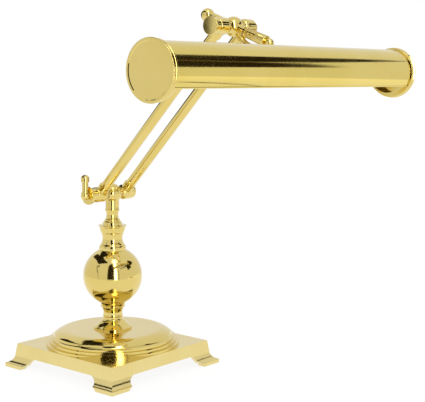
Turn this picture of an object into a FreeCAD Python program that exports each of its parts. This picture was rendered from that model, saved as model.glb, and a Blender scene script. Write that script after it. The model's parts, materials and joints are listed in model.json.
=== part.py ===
import FreeCAD, Part
import Sketcher
import math
import os

# Piano lamp: a square cast base on bracket feet, a turned stem with a large ball, a pair of rods that
# lean forward from a clamped pivot, and a trough shade that tilts on a second pivot.
# Millimetres and degrees. X runs along the shade, -Y is the side the shade leans to, +Z is up, and the
# origin is on the stem's axis at the level of the floor.

SIZES = {
    # Fits shared by many pieces.
    "seat_gap": 0.05,
    "running_gap": 0.06,
    # Base casting, a square plate with a drafted apron and four flared bracket feet.
    "base_width": 139.2,
    "base_height": 24.0,
    "base_draft": 1.7,
    "apron_gap": 11.8,
    "foot_spread": 7.3,
    "foot_lip": 3.4,
    "foot_lip_round": 0.7,
    "foot_thickness": 8.0,
    "bracket_reach": 42.0,
    "bracket_shoulder": 7.2,
    "bracket_shoulder_drop": 5.4,
    "bracket_toe": 5.3,
    "bracket_toe_drop": 4.4,
    "bracket_foot": 1.0,
    "casting_wall": 3.6,
    "plate_thickness": 3.5,
    # Stepped disc on the base.
    "disc_radius": 69.0,
    "disc_edge": 2.4,
    "disc_slope": 0.4,
    "disc_ledge": 2.8,
    "disc_second_edge": 2.4,
    "disc_second_ledge": 2.6,
    "disc_third_edge": 2.0,
    "disc_cove_depth": 3.4,
    "disc_cove_rise": 3.2,
    "disc_dome_depth": 11.2,
    "disc_dome_rise": 4.5,
    "disc_wall": 2.8,
    "disc_boss_radius": 10.0,
    # Ballast, bottom cover and the nut that clamps the stem.
    "weight_inset": 2.0,
    "weight_thickness": 7.4,
    "weight_bore_radius": 9.0,
    "weight_slot": 8.0,
    "cover_thickness": 1.2,
    "cover_inset": 1.2,
    "cover_hole_place": 20.0,
    "stem_washer_radius": 11.0,
    "stem_washer_thickness": 1.5,
    "stem_nut_flats": 14.0,
    "stem_nut_thickness": 3.9,
    "stem_rod_radius": 4.8,
    "stem_rod_bore": 3.5,
    "stem_rod_overrun": 0.5,
    # Cord inlet in the back of the apron.
    "inlet_height": 16.3,
    "inlet_radius": 3.4,
    "inlet_bore": 2.7,
    "inlet_flange": 0.9,
    "inlet_flange_thickness": 1.5,
    "inlet_lip": 0.5,
    "inlet_lip_thickness": 1.0,
    "bushing_gap": 0.12,
    "spotface_depth": 1.3,
    # Turned foot of the stem.
    "foot_flange_radius": 19.8,
    "foot_flange_edge": 1.7,
    "foot_flange_bevel": 0.8,
    "foot_flange_bevel_rise": 0.6,
    "foot_slope_radius": 12.6,
    "foot_slope_rise": 5.4,
    "foot_neck_radius": 9.9,
    "foot_neck_rise": 3.0,
    "foot_neck_straight": 1.4,
    "foot_bead_rise": 2.7,
    "foot_throat_rise": 7.0,
    "foot_throat_radius": 11.2,
    "foot_ring_radius": 12.6,
    "foot_ring_rise": 1.1,
    "foot_ring_edge": 1.0,
    "foot_ring_step": 0.5,
    "foot_cup_radius": 13.4,
    "foot_cup_rise": 3.15,
    # Hollow ball.
    "ball_radius": 30.5,
    "ball_wall": 1.2,
    "ball_hole_radius": 5.2,
    # Collar above the ball.
    "collar_base_radius": 13.75,
    "collar_base_edge": 2.6,
    "collar_shoulder_radius": 12.1,
    "collar_shoulder_rise": 3.1,
    "collar_waist_radius": 10.25,
    "collar_waist_rise": 5.4,
    "collar_ring_radius": 10.9,
    "collar_ring_rise": 5.4,
    "collar_ring_step": 0.35,
    "collar_ring_edge": 0.9,
    "collar_cup_radius": 12.9,
    "collar_cup_rise": 4.6,
    "collar_rim_radius": 14.1,
    "collar_rim_rise": 2.4,
    "collar_rim_edge": 1.2,
    # Finial between the collar and the pivot.
    "finial_base_radius": 9.6,
    "finial_base_rise": 2.4,
    "finial_bead_radius": 8.1,
    "finial_bead_rise": 1.9,
    "finial_second_radius": 7.1,
    "finial_second_rise": 1.9,
    "finial_waist_radius": 6.1,
    "finial_waist_rise": 4.1,
    "finial_flare_radius": 7.0,
    "finial_flare_rise": 4.2,
    "finial_ring_rise": 2.6,
    "finial_top_radius": 6.7,
    "finial_top_rise": 1.7,
    # Pivots: a tee on the stem and two eyes on each end of the arm.
    "tee_neck_radius": 6.95,
    "tee_neck_rise": 14.0,
    "tee_ball_radius": 9.9,
    "tee_rod_depth": 6.0,
    "hub_half_width": 8.2,
    "bolt_radius": 2.5,
    "washer_radius": 5.0,
    "washer_thickness": 2.0,
    "eye_radius": 7.7,
    "eye_width": 15.0,
    "eye_inner_round": 5.0,
    "eye_outer_round": 1.2,
    "eye_boss_radius": 6.1,
    "eye_boss_reach": 11.5,
    "collar_radius": 7.4,
    "lower_collar_width": 7.1,
    "lower_disc_radius": 9.1,
    "lower_disc_width": 2.2,
    "lower_cap_radius": 7.1,
    "lower_cap_width": 6.2,
    "upper_collar_width": 5.8,
    "upper_disc_radius": 8.6,
    "upper_disc_width": 2.0,
    "upper_cap_radius": 6.1,
    "upper_cap_width": 6.4,
    "cap_wall": 2.0,
    "edge_round": 0.6,
    # Clamp lever.
    "lever_radius": 3.1,
    "lever_hub_radius": 4.3,
    "lever_hub_drop": 4.2,
    "lever_neck_rise": 4.6,
    "lever_socket_depth": 4.4,
    "lever_length": 21.3,
    "lever_tip_radius": 4.15,
    "lever_tip_length": 7.3,
    "lever_pin_depth": 4.8,
    # Arm.
    "arm_centres": 228.0,
    "arm_lean": 43.8,
    "rod_radius": 4.95,
    "rod_wall": 0.95,
    "rod_start": 7.2,
    # Head: hub, rear ball, switch and its turning grip, on a line that falls towards the front.
    "head_ball_radius": 9.2,
    "grip_fall": 20.3,
    "front_boss_radius": 4.9,
    "front_boss_reach": 14.8,
    "rear_boss_radius": 5.0,
    "rear_boss_reach": 10.0,
    "rear_neck_radius": 4.3,
    "rear_ball_radius": 6.3,
    "rear_ball_reach": 32.8,
    "rear_stud_radius": 2.0,
    "rear_stud_depth": 5.2,
    "switch_radius": 3.9,
    "switch_depth": 9.0,
    "spindle_radius": 1.9,
    "spindle_depth": 6.0,
    "grip_gap": 0.4,
    "grip_rear_radius": 4.6,
    "grip_front_radius": 5.1,
    "grip_length": 24.8,
    "grip_band": 1.6,
    "grip_band_step": 0.2,
    "flute_radius": 0.42,
    "flute_depth": 0.32,
    "knob_radius": 4.1,
    "knob_neck_radius": 2.9,
    "knob_neck_rise": 0.9,
    # Bent link from the hub to the back of the shade.
    "link_fall": 50.0,
    "link_corner": 19.5,
    "link_bend": 16.0,
    "link_radius": 3.1,
    "stub_radius": 3.5,
    "stub_reach": 15.35,
    "stub_socket_depth": 2.4,
    "link_stud_radius": 2.4,
    "link_nut_radius": 5.0,
    "link_nut_thickness": 3.2,
    "saddle_radius": 7.5,
    "saddle_edge": 1.2,
    "saddle_height": 4.6,
    "saddle_top_radius": 4.5,
    # Trough shade.
    "shade_length": 356.0,
    "shade_radius": 22.8,
    "shade_wall": 0.8,
    "shade_reach": 63.6,
    "shade_drop": 40.4,
    "shade_opening": 55.5,
    "lip_bead_radius": 0.9,
    "cap_radius": 24.8,
    "cap_depth": 5.7,
    "cap_ring_radius": 24.4,
    "cap_ring_width": 2.3,
    "cap_groove_radius": 23.8,
    "cap_groove_width": 1.3,
    "cap_rim_width": 2.0,
    "cap_recess": 0.6,
    "cap_face_thickness": 1.5,
    "cap_spigot_wall": 2.0,
    "cap_spigot_depth": 6.0,
    # Lamp holders and lamps on a strip inside the shade.
    "strip_width": 12.0,
    "strip_thickness": 1.5,
    "strip_end_gap": 7.0,
    "tab_drop": 8.0,
    "bulb_lift": 1.5,
    "socket_radius": 11.5,
    "socket_length": 33.0,
    "socket_wall": 2.4,
    "socket_floor": 6.0,
    "screw_radius": 2.0,
    "screw_head_radius": 3.5,
    "screw_head_rise": 2.2,
    "screw_depth": 4.0,
    "bulb_radius": 12.5,
    "bulb_glass": 0.8,
    "bulb_length": 117.0,
    "bulb_neck_rise": 6.0,
    "bulb_base_radius": 8.4,
    "bulb_base_length": 22.0,
    "bulb_base_wall": 0.5,
    "bulb_contact_radius": 3.0,
    "bulb_base_taper": 4.0,
}

FLUTE_COUNT = 20

# How far a curved edge turns, in degrees.
SLIGHT = 16
GENTLE = 34
ROUND = 68
SIXTH = 60
QUARTER = 90

# How far a cutting outline runs past the piece that it cuts.
PAST = 2.0

document = FreeCAD.newDocument("PianoLamp")
sheet = document.addObject("Spreadsheet::Sheet", "Sizes")
for row, (alias, value) in enumerate(SIZES.items(), start=1):
    sheet.set(f"A{row}", alias)
    sheet.set(f"B{row}", str(value))
    sheet.setAlias(f"B{row}", alias)
document.recompute()

pieces = []


class Size:
    """A number with the sheet expression that gives it, so that a formula is written once."""

    def __init__(self, number, text):
        self.number = number
        self.text = text

    def __add__(self, other):
        other = as_size(other)
        return Size(self.number + other.number, f"({self.text} + {other.text})")

    def __sub__(self, other):
        other = as_size(other)
        return Size(self.number - other.number, f"({self.text} - {other.text})")

    def __mul__(self, other):
        other = as_size(other)
        return Size(self.number * other.number, f"({self.text} * {other.text})")

    def __truediv__(self, other):
        other = as_size(other)
        return Size(self.number / other.number, f"({self.text} / {other.text})")

    def __radd__(self, other):
        return as_size(other) + self

    def __rsub__(self, other):
        return as_size(other) - self

    def __rmul__(self, other):
        return as_size(other) * self

    def __neg__(self):
        return Size(-self.number, f"(0 - {self.text})")


class Around:
    """The radius of an arc of under half a circle, and whether the outline turns left along it."""

    def __init__(self, radius, left=True):
        self.radius = as_size(radius)
        self.left = left


def as_size(value):
    return value if isinstance(value, Size) else Size(float(value), f"({value})")


def size(alias):
    return Size(SIZES[alias], f"Sizes.{alias}")


def root(value):
    return Size(math.sqrt(value.number), f"sqrt({value.text})")


def cosine(angle):
    return Size(math.cos(math.radians(angle.number)), f"cos({angle.text} * 1 deg)")


def sine(angle):
    return Size(math.sin(math.radians(angle.number)), f"sin({angle.text} * 1 deg)")


def tangent(angle):
    return Size(math.tan(math.radians(angle.number)), f"tan({angle.text} * 1 deg)")


def arc_tangent(ratio):
    return Size(math.degrees(math.atan(ratio.number)), f"(atan({ratio.text}) / 1 deg)")


def chord_height(radius, reach):
    """How far along its axis a ball or barrel of the given radius has shrunk to the given reach."""
    return root(radius * radius - reach * reach)


def dome(reach, rise, left=True):
    """The arc over a cap of the given reach and rise, which crosses the axis squarely."""
    return Around((reach * reach + rise * rise) / (rise * 2), left)


def drive(item, path, value, unit=""):
    """Bind one property of an object to a size."""
    value = as_size(value)
    item.setExpression(path, f"{value.text}{unit}")


def new_body(label):
    body = document.addObject("PartDesign::Body", label)
    body.Label = label
    body.AllowCompound = True
    pieces.append(body)
    return body


def place(body, across=0, along=0, up=0, turn=0):
    """Put a body at a point, turned about the X direction."""
    across = as_size(across)
    along = as_size(along)
    up = as_size(up)
    turn = as_size(turn)
    point = FreeCAD.Vector(across.number, along.number, up.number)
    rotation = FreeCAD.Rotation(FreeCAD.Vector(1, 0, 0), turn.number)
    body.Placement = FreeCAD.Placement(point, rotation)
    drive(body, "Placement.Base.x", across)
    drive(body, "Placement.Base.y", along)
    drive(body, "Placement.Base.z", up)
    if turn.number:
        drive(body, "Placement.Rotation.Angle", turn, " * 1 deg")


def sketch_on(body, role, lift=0, tilt=0, along=0, up=0):
    """A sketch on one of the body's own planes, moved in Y and Z, tilted about X and lifted off."""
    sketch = body.newObject("Sketcher::SketchObject", f"{body.Label}_outline")
    plane = next(item for item in body.Origin.OriginFeatures if item.Role == role)
    sketch.AttachmentSupport = [(plane, "")]
    sketch.MapMode = "FlatFace"
    lift = as_size(lift)
    tilt = as_size(tilt)
    along = as_size(along) - sine(tilt) * lift
    up = as_size(up) + cosine(tilt) * lift
    if along.number or up.number or tilt.number:
        rotation = FreeCAD.Rotation(FreeCAD.Vector(1, 0, 0), tilt.number)
        sketch.AttachmentOffset = FreeCAD.Placement(FreeCAD.Vector(0, along.number, up.number), rotation)
        drive(sketch, "AttachmentOffset.Base.y", along)
        drive(sketch, "AttachmentOffset.Base.z", up)
    if tilt.number:
        drive(sketch, "AttachmentOffset.Rotation.Angle", tilt, " * 1 deg")
    return sketch


def pin_point(sketch, edge, end, point):
    """Fix one end of an edge at a point given in sizes."""
    constraint = Sketcher.Constraint("DistanceX", -1, 1, edge, end, point[0].number)
    drive(sketch, f"Constraints[{sketch.addConstraint(constraint)}]", point[0])
    constraint = Sketcher.Constraint("DistanceY", -1, 1, edge, end, point[1].number)
    drive(sketch, f"Constraints[{sketch.addConstraint(constraint)}]", point[1])


def draw(sketch, steps, closed=True):
    """Draw an outline. A step is (across, up), or (across, up, bend) where an arc arrives there.

    The bend is the angle that the arc turns, positive to the left, or an Around.
    """
    points = [(as_size(step[0]), as_size(step[1])) for step in steps]
    count = len(points)
    edges = []
    for index in range(count if closed else count - 1):
        start = points[index]
        stop = points[(index + 1) % count]
        step = steps[(index + 1) % count]
        bend = step[2] if len(step) > 2 else None
        edges.append(draw_edge(sketch, start, stop, bend))
    for index, (edge, start_end, stop_end) in enumerate(edges):
        pin_point(sketch, edge, start_end, points[index])
        if closed or index + 1 < len(edges):
            following, following_end, _ = edges[(index + 1) % len(edges)]
            sketch.addConstraint(Sketcher.Constraint("Coincident", edge, stop_end, following, following_end))
        else:
            pin_point(sketch, edge, stop_end, points[index + 1])
    return sketch


def draw_edge(sketch, start, stop, bend):
    """One line or arc; returns its number and which of its ends are its start and stop."""
    first = FreeCAD.Vector(start[0].number, start[1].number, 0)
    last = FreeCAD.Vector(stop[0].number, stop[1].number, 0)
    if bend is None:
        return sketch.addGeometry(Part.LineSegment(first, last), False), 1, 2
    across = stop[0] - start[0]
    up = stop[1] - start[1]
    chord = root(across * across + up * up)
    if isinstance(bend, Around):
        radius = bend.radius
        left = bend.left
        half_turn = math.asin(chord.number / 2 / radius.number)
    else:
        bend = as_size(bend)
        left = bend.number > 0
        half_turn = math.radians(abs(bend.number)) / 2
        half_bend = bend / 2 if left else bend / -2
        radius = chord / (2 * sine(half_bend))
    side = 1 if left else -1
    run = (last - first) / chord.number
    inward = FreeCAD.Vector(-run.y, run.x, 0) * side
    centre = (first + last) / 2 + inward * (radius.number * math.cos(half_turn))
    begin, end = (first, last) if left else (last, first)
    begin_angle = math.atan2(begin.y - centre.y, begin.x - centre.x)
    end_angle = math.atan2(end.y - centre.y, end.x - centre.x)
    circle = Part.Circle(centre, FreeCAD.Vector(0, 0, 1), radius.number)
    edge = sketch.addGeometry(Part.ArcOfCircle(circle, begin_angle, end_angle), False)
    constraint = Sketcher.Constraint("Radius", edge, radius.number)
    drive(sketch, f"Constraints[{sketch.addConstraint(constraint)}]", radius)
    return (edge, 1, 2) if left else (edge, 2, 1)


def draw_circle(sketch, radius, across=0, up=0):
    radius = as_size(radius)
    centre = (as_size(across), as_size(up))
    middle = FreeCAD.Vector(centre[0].number, centre[1].number, 0)
    circle = Part.Circle(middle, FreeCAD.Vector(0, 0, 1), radius.number)
    edge = sketch.addGeometry(circle, False)
    constraint = Sketcher.Constraint("Radius", edge, radius.number)
    drive(sketch, f"Constraints[{sketch.addConstraint(constraint)}]", radius)
    pin_point(sketch, edge, 3, centre)
    return sketch


def rectangle(left, right, bottom, top):
    return [(left, bottom), (right, bottom), (right, top), (left, top)]


def square(half):
    return rectangle(-half, half, -half, half)


def mirrored(steps):
    """The same outline on the other side of the upright axis."""
    return [(-as_size(step[0]), *step[1:2], *(flipped(bend) for bend in step[2:])) for step in steps]


def flipped(bend):
    if isinstance(bend, Around):
        return Around(bend.radius, not bend.left)
    return -bend


def both_sides(steps):
    """An open run of steps down the right side, closed by its mirror image up the left side."""
    left = []
    for index in range(len(steps) - 1, -1, -1):
        bend = steps[index + 1][2:] if index + 1 < len(steps) else ()
        left.append((-as_size(steps[index][0]), steps[index][1], *bend))
    return list(steps) + left


def rising(start, steps):
    """Turn (radius, rise) or (radius, rise, bend) steps into heights that add up from a start."""
    height = as_size(start)
    outline = []
    for radius, rise, *bend in steps:
        height = height + rise
        outline.append((radius, height, *bend))
    return outline


def total_rise(steps):
    height = as_size(0)
    for step in steps:
        height = height + step[1]
    return height


def pad(body, sketch, length, symmetric=False):
    feature = body.newObject("PartDesign::Pad", f"{body.Label}_pad")
    feature.Profile = sketch
    feature.SideType = "Symmetric" if symmetric else "One side"
    drive(feature, "Length", length)
    return feature


def cut(body, sketch, length, symmetric=False):
    """Cut along the sketch's normal, or both ways from it."""
    feature = body.newObject("PartDesign::Pocket", f"{body.Label}_cut")
    feature.Profile = sketch
    feature.SideType = "Symmetric" if symmetric else "One side"
    feature.Reversed = not symmetric
    drive(feature, "Length", length)
    return feature


def revolve(body, sketch, axis):
    feature = body.newObject("PartDesign::Revolution", f"{body.Label}_turning")
    feature.Profile = sketch
    feature.ReferenceAxis = (sketch, [axis])
    feature.Angle = 360
    return feature


def turned_up(label, steps):
    """A body turned about its upright axis from an outline of radius and height."""
    body = new_body(label)
    revolve(body, draw(sketch_on(body, "XZ_Plane"), steps), "V_Axis")
    return body


def turned_across(label, *outlines):
    """A body turned about the X direction from outlines of place along X and radius."""
    body = new_body(label)
    sketch = sketch_on(body, "XZ_Plane")
    for steps in outlines:
        draw(sketch, steps)
    revolve(body, sketch, "H_Axis")
    return body


def hexagon(corner):
    """The corners of a hexagon nut."""
    sixths = [as_size(SIXTH * turn) for turn in range(6)]
    return [(corner * cosine(turn), corner * sine(turn)) for turn in sixths]


def ring(inner, outer, left, right):
    """The section of a plain ring about the X direction."""
    return [(left, inner), (right, inner), (right, outer), (left, outer)]


def bore_across(body, radius, half_length):
    """A round hole right through along X at the body's origin."""
    sketch = draw_circle(sketch_on(body, "YZ_Plane"), radius)
    cut(body, sketch, half_length * 2, symmetric=True)


# Levels of the pieces that stand on each other, from the floor to the two pivots.
base_half = size("base_width") / 2
apron_half = base_half + size("base_draft")
foot_half = apron_half + size("foot_spread")
cavity_half = base_half - size("casting_wall")
cavity_top = size("base_height") - size("plate_thickness")
weight_bottom = cavity_top - size("weight_thickness")
cover_bottom = weight_bottom - size("cover_thickness")
washer_bottom = cover_bottom - size("stem_washer_thickness")
nut_bottom = washer_bottom - size("stem_nut_thickness")
rod_bottom = nut_bottom - size("stem_rod_overrun")
spotface_along = apron_half - size("spotface_depth")
rod_hole = size("stem_rod_radius") + size("seat_gap")
bolt_seat = size("bolt_radius") + size("seat_gap")
bolt_run = size("bolt_radius") + size("running_gap")

DISC_EDGES = [
    (size("disc_radius"), size("disc_edge")),
    (size("disc_radius") - size("disc_ledge"), size("disc_slope")),
    (size("disc_radius") - size("disc_ledge"), size("disc_second_edge")),
    (size("disc_radius") - size("disc_ledge") - size("disc_second_ledge"), size("disc_slope")),
    (size("disc_radius") - size("disc_ledge") - size("disc_second_ledge"), size("disc_third_edge")),
]
disc_shelf_radius = DISC_EDGES[-1][0]
disc_dome_radius = disc_shelf_radius - size("disc_cove_depth")
disc_flat_radius = disc_dome_radius - size("disc_dome_depth")
disc_shelf = total_rise(DISC_EDGES)
disc_height = disc_shelf + size("disc_cove_rise") + size("disc_dome_rise")

STEM_FOOT = [
    (size("foot_flange_radius"), size("foot_flange_edge")),
    (size("foot_flange_radius") - size("foot_flange_bevel"), size("foot_flange_bevel_rise")),
    (size("foot_slope_radius"), size("foot_slope_rise"), -SLIGHT),
    (size("foot_neck_radius"), size("foot_neck_rise"), -GENTLE),
    (size("foot_neck_radius"), size("foot_neck_straight")),
    (size("foot_neck_radius"), size("foot_bead_rise"), ROUND),
    (size("foot_throat_radius"), size("foot_throat_rise"), -GENTLE),
    (size("foot_ring_radius"), size("foot_ring_rise"), -GENTLE),
    (size("foot_ring_radius"), size("foot_ring_edge"), ROUND),
    (size("foot_ring_radius") - size("foot_ring_step"), size("foot_ring_step")),
    (size("foot_cup_radius"), size("foot_cup_rise"), -SLIGHT),
]
foot_top = size("base_height") + disc_height
ball_seat_radius = size("ball_radius") + size("seat_gap")
ball_centre = foot_top + total_rise(STEM_FOOT) + chord_height(ball_seat_radius, size("foot_cup_radius"))
collar_bottom = ball_centre + chord_height(ball_seat_radius, size("collar_base_radius"))

BALL_COLLAR = [
    (size("collar_base_radius"), size("collar_base_edge")),
    (size("collar_shoulder_radius"), size("collar_shoulder_rise"), GENTLE),
    (size("collar_waist_radius"), size("collar_waist_rise"), -GENTLE),
    (size("collar_ring_radius"), size("collar_ring_rise"), -SLIGHT),
    (size("collar_ring_radius") + size("collar_ring_step"), 0),
    (size("collar_ring_radius") + size("collar_ring_step"), size("collar_ring_edge"), ROUND),
    (size("collar_cup_radius"), size("collar_cup_rise"), GENTLE),
    (size("collar_rim_radius"), size("collar_rim_rise"), -GENTLE),
    (size("collar_rim_radius"), size("collar_rim_edge"), QUARTER),
]
finial_bottom = collar_bottom + total_rise(BALL_COLLAR)

STEM_FINIAL = [
    (size("finial_base_radius"), size("finial_base_rise"), -SLIGHT),
    (size("finial_bead_radius"), size("finial_bead_rise"), ROUND),
    (size("finial_second_radius"), size("finial_second_rise"), ROUND),
    (size("finial_waist_radius"), size("finial_waist_rise"), -GENTLE),
    (size("finial_flare_radius"), size("finial_flare_rise"), -GENTLE),
    (size("finial_flare_radius"), size("finial_ring_rise"), ROUND),
    (size("finial_top_radius"), size("finial_top_rise")),
]
tee_bottom = finial_bottom + total_rise(STEM_FINIAL)
lower_pivot = tee_bottom + size("tee_neck_rise")
upper_pivot_along = -size("arm_centres") * sine(size("arm_lean"))
upper_pivot = lower_pivot + size("arm_centres") * cosine(size("arm_lean"))

# Places along X of the pieces that are stacked on each pivot bolt.
washer_outer = size("hub_half_width") + size("washer_thickness")
eye_outer = washer_outer + size("eye_width")
eye_middle = (washer_outer + eye_outer) / 2
lower_disc_inner = eye_outer + size("lower_collar_width")
lower_disc_outer = lower_disc_inner + size("lower_disc_width")
upper_disc_inner = eye_outer + size("upper_collar_width")
upper_disc_outer = upper_disc_inner + size("upper_disc_width")
lever_centre = lower_disc_outer + size("lever_radius")

# The shade's axis and the bent link's path, from the upper pivot.
shade_along = upper_pivot_along - size("shade_reach")
shade_up = upper_pivot - size("shade_drop")
corner_along = -size("link_corner") * cosine(size("link_fall"))
corner_up = -size("link_corner") * sine(size("link_fall"))
arrival_run = size("shade_reach") + corner_along
arrival_drop = size("shade_drop") + corner_up
link_arrival = arc_tangent(arrival_drop / arrival_run)
shade_inner = size("shade_radius") - size("shade_wall")
shell_half = size("shade_length") / 2 - size("cap_depth")

# The strip, the link's nut and the lamp holders, measured from the shade's axis and its middle.
strip_outer = chord_height(shade_inner - size("seat_gap"), size("strip_width") / 2)
strip_inner = strip_outer - size("strip_thickness")
nut_inner = strip_inner - size("link_nut_thickness")
strip_half = shell_half - size("strip_end_gap")
holder_back = strip_half - size("strip_thickness")
holder_mouth = holder_back - size("socket_length")


def base_plate():
    """The casting: one section crossed with itself, hollowed, and cut to a bracket on each side."""
    body = new_body("base_plate")
    lip_out = foot_half - size("foot_lip_round")
    lip_top = size("foot_lip") + size("foot_lip_round")
    side = [
        (base_half, size("base_height")),
        (apron_half, size("apron_gap")),
        (lip_out, lip_top, ROUND),
        (foot_half, size("foot_lip"), -ROUND),
    ]
    section = both_sides(side + [(foot_half, 0)])
    pad(body, draw(sketch_on(body, "XZ_Plane"), section), foot_half * 2, symmetric=True)
    past = foot_half + PAST
    above = size("base_height") + PAST
    outside = side + [(past, size("foot_lip")), (past, above), (base_half, above)]
    sketch = draw(sketch_on(body, "YZ_Plane"), outside)
    draw(sketch, mirrored(outside))
    cut(body, sketch, past * 2, symmetric=True)
    cut(body, draw(sketch_on(body, "XY_Plane"), square(cavity_half)), cavity_top)
    feet = body.newObject("PartDesign::SubtractiveLoft", "base_plate_feet")
    feet.Profile = draw(sketch_on(body, "XY_Plane"), square(foot_half - size("foot_thickness")))
    feet.Sections = [draw(sketch_on(body, "XY_Plane", lift=size("apron_gap")), square(cavity_half))]
    feet.Ruled = True
    shoulder = size("bracket_reach") + size("bracket_shoulder")
    toe = shoulder + size("bracket_toe")
    shoulder_up = size("apron_gap") - size("bracket_shoulder_drop")
    toe_up = shoulder_up - size("bracket_toe_drop")
    bracket = both_sides([
        (size("bracket_reach"), size("apron_gap")),
        (shoulder, shoulder_up, -GENTLE),
        (toe, toe_up, GENTLE),
        (toe + size("bracket_foot"), 0),
        (toe + size("bracket_foot"), -PAST),
    ])
    for role in ("XZ_Plane", "YZ_Plane"):
        cut(body, draw(sketch_on(body, role), bracket), past * 2, symmetric=True)
    cut(body, draw_circle(sketch_on(body, "XY_Plane"), rod_hole), above)
    inlet = draw_circle(sketch_on(body, "XZ_Plane"), size("inlet_radius"), up=size("inlet_height"))
    feature = cut(body, inlet, past)
    feature.Reversed = False
    spot = sketch_on(body, "XZ_Plane", lift=-spotface_along)
    spot_radius = size("inlet_radius") + size("inlet_flange") + size("bushing_gap")
    feature = cut(body, draw_circle(spot, spot_radius, up=size("inlet_height")), past)
    feature.Reversed = False


def base_disc():
    """The stepped and domed disc, hollow beneath, with a boss round the stem rod."""
    wall = size("disc_wall")
    rim = [(size("disc_radius"), 0)] + rising(0, DISC_EDGES)
    outline = rim + [
        (disc_dome_radius, disc_shelf + size("disc_cove_rise"), -ROUND),
        (disc_flat_radius, disc_height, GENTLE),
        (rod_hole, disc_height),
        (rod_hole, 0),
        (size("disc_boss_radius"), 0),
        (size("disc_boss_radius"), disc_height - wall),
        (disc_flat_radius - wall, disc_height - wall),
        (disc_dome_radius - wall, disc_shelf),
        (disc_shelf_radius - wall, disc_shelf - size("disc_third_edge")),
        (size("disc_radius") - wall, size("disc_edge") / 2),
        (size("disc_radius") - wall, 0),
    ]
    place(turned_up("base_disc", outline), up=size("base_height"))


def base_weight():
    """The iron ballast under the plate, slotted at the back for the cord."""
    body = new_body("base_weight")
    half = cavity_half - size("weight_inset")
    pad(body, draw(sketch_on(body, "XY_Plane"), square(half)), size("weight_thickness"))
    sketch = draw_circle(sketch_on(body, "XY_Plane"), size("weight_bore_radius"))
    cut(body, sketch, size("weight_thickness"))
    slot = rectangle(size("weight_slot") / -2, size("weight_slot") / 2, 0, half + PAST)
    cut(body, draw(sketch_on(body, "XY_Plane"), slot), size("weight_thickness"))
    place(body, up=weight_bottom)


def base_cover():
    """The sheet that closes the casting from below, with a hole for the cord."""
    body = new_body("base_cover")
    sketch = draw(sketch_on(body, "XY_Plane"), square(cavity_half - size("cover_inset")))
    draw_circle(sketch, rod_hole)
    draw_circle(sketch, size("weight_slot") / 2, up=size("cover_hole_place"))
    pad(body, sketch, size("cover_thickness"))
    place(body, up=cover_bottom)


def cord_bushing():
    """The bushing that lines the cord inlet, with its flange outside and its lip inside."""
    shank = size("inlet_radius") - size("bushing_gap")
    wall = spotface_along - cavity_half
    inner = -wall - size("inlet_lip_thickness")
    flange = size("inlet_radius") + size("inlet_flange")
    flange_top = size("inlet_flange_thickness")
    round_edge = size("edge_round")
    outline = [
        (size("inlet_bore"), inner),
        (size("inlet_radius"), inner),
        (size("inlet_radius") + size("inlet_lip"), -wall),
        (shank, -wall),
        (shank, 0),
        (flange, 0),
        (flange, flange_top - round_edge),
        (flange - round_edge, flange_top, QUARTER),
        (size("inlet_bore"), flange_top),
    ]
    body = turned_up("cord_bushing", outline)
    place(body, along=spotface_along, up=size("inlet_height"), turn=-QUARTER)


def stem_rod():
    """The threaded tube that ties the base, the turned stem and the tee together."""
    body = new_body("stem_rod")
    sketch = draw_circle(sketch_on(body, "XY_Plane"), size("stem_rod_radius"))
    draw_circle(sketch, size("stem_rod_bore"))
    pad(body, sketch, tee_bottom + size("tee_rod_depth") - rod_bottom)
    place(body, up=rod_bottom)


def stem_washer():
    body = new_body("stem_washer")
    sketch = draw_circle(sketch_on(body, "XY_Plane"), size("stem_washer_radius"))
    draw_circle(sketch, rod_hole)
    pad(body, sketch, size("stem_washer_thickness"))
    place(body, up=washer_bottom)


def stem_nut():
    body = new_body("stem_nut")
    sketch = draw(sketch_on(body, "XY_Plane"), hexagon(size("stem_nut_flats") / math.sqrt(3)))
    draw_circle(sketch, rod_hole)
    pad(body, sketch, size("stem_nut_thickness"))
    place(body, up=nut_bottom)


def stem_foot():
    """The flanged foot of the stem; its cup follows the underside of the ball."""
    top = total_rise(STEM_FOOT)
    centre = top + chord_height(ball_seat_radius, size("foot_cup_radius"))
    outline = [(rod_hole, 0), (size("foot_flange_radius"), 0)] + rising(0, STEM_FOOT)
    seat = Around(ball_seat_radius, left=False)
    outline.append((rod_hole, centre - chord_height(ball_seat_radius, rod_hole), seat))
    place(turned_up("stem_foot", outline), up=foot_top)


def stem_ball():
    """The hollow ball, pierced top and bottom for the rod."""
    hole = size("ball_hole_radius")
    inner = size("ball_radius") - size("ball_wall")
    outer_end = chord_height(size("ball_radius"), hole)
    inner_end = chord_height(inner, hole)
    outline = [
        (hole, -outer_end),
        (hole, outer_end, Around(size("ball_radius"))),
        (hole, inner_end),
        (hole, -inner_end, Around(inner, left=False)),
    ]
    place(turned_up("stem_ball", outline), up=ball_centre)


def ball_collar():
    """The collar on the ball, with a waist, a fine ring and a cup."""
    drop = chord_height(ball_seat_radius, size("collar_base_radius"))
    seat = Around(ball_seat_radius, left=False)
    outline = [(rod_hole, chord_height(ball_seat_radius, rod_hole) - drop)]
    outline.append((size("collar_base_radius"), 0, seat))
    outline += rising(0, BALL_COLLAR)
    outline.append((rod_hole, total_rise(BALL_COLLAR)))
    place(turned_up("ball_collar", outline), up=collar_bottom)


def stem_finial():
    outline = [(rod_hole, 0), (size("finial_base_radius") + size("edge_round"), 0)]
    outline += rising(0, STEM_FINIAL)
    outline.append((rod_hole, total_rise(STEM_FINIAL)))
    place(turned_up("stem_finial", outline), up=finial_bottom)


def flat_sides(body, reach):
    """Cut a ball flat at both ends of the pivot's width."""
    half = size("hub_half_width")
    side = rectangle(half, half + reach, -reach, reach)
    sketch = draw(sketch_on(body, "XZ_Plane"), side)
    draw(sketch, mirrored(side))
    cut(body, sketch, reach * 2, symmetric=True)


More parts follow.
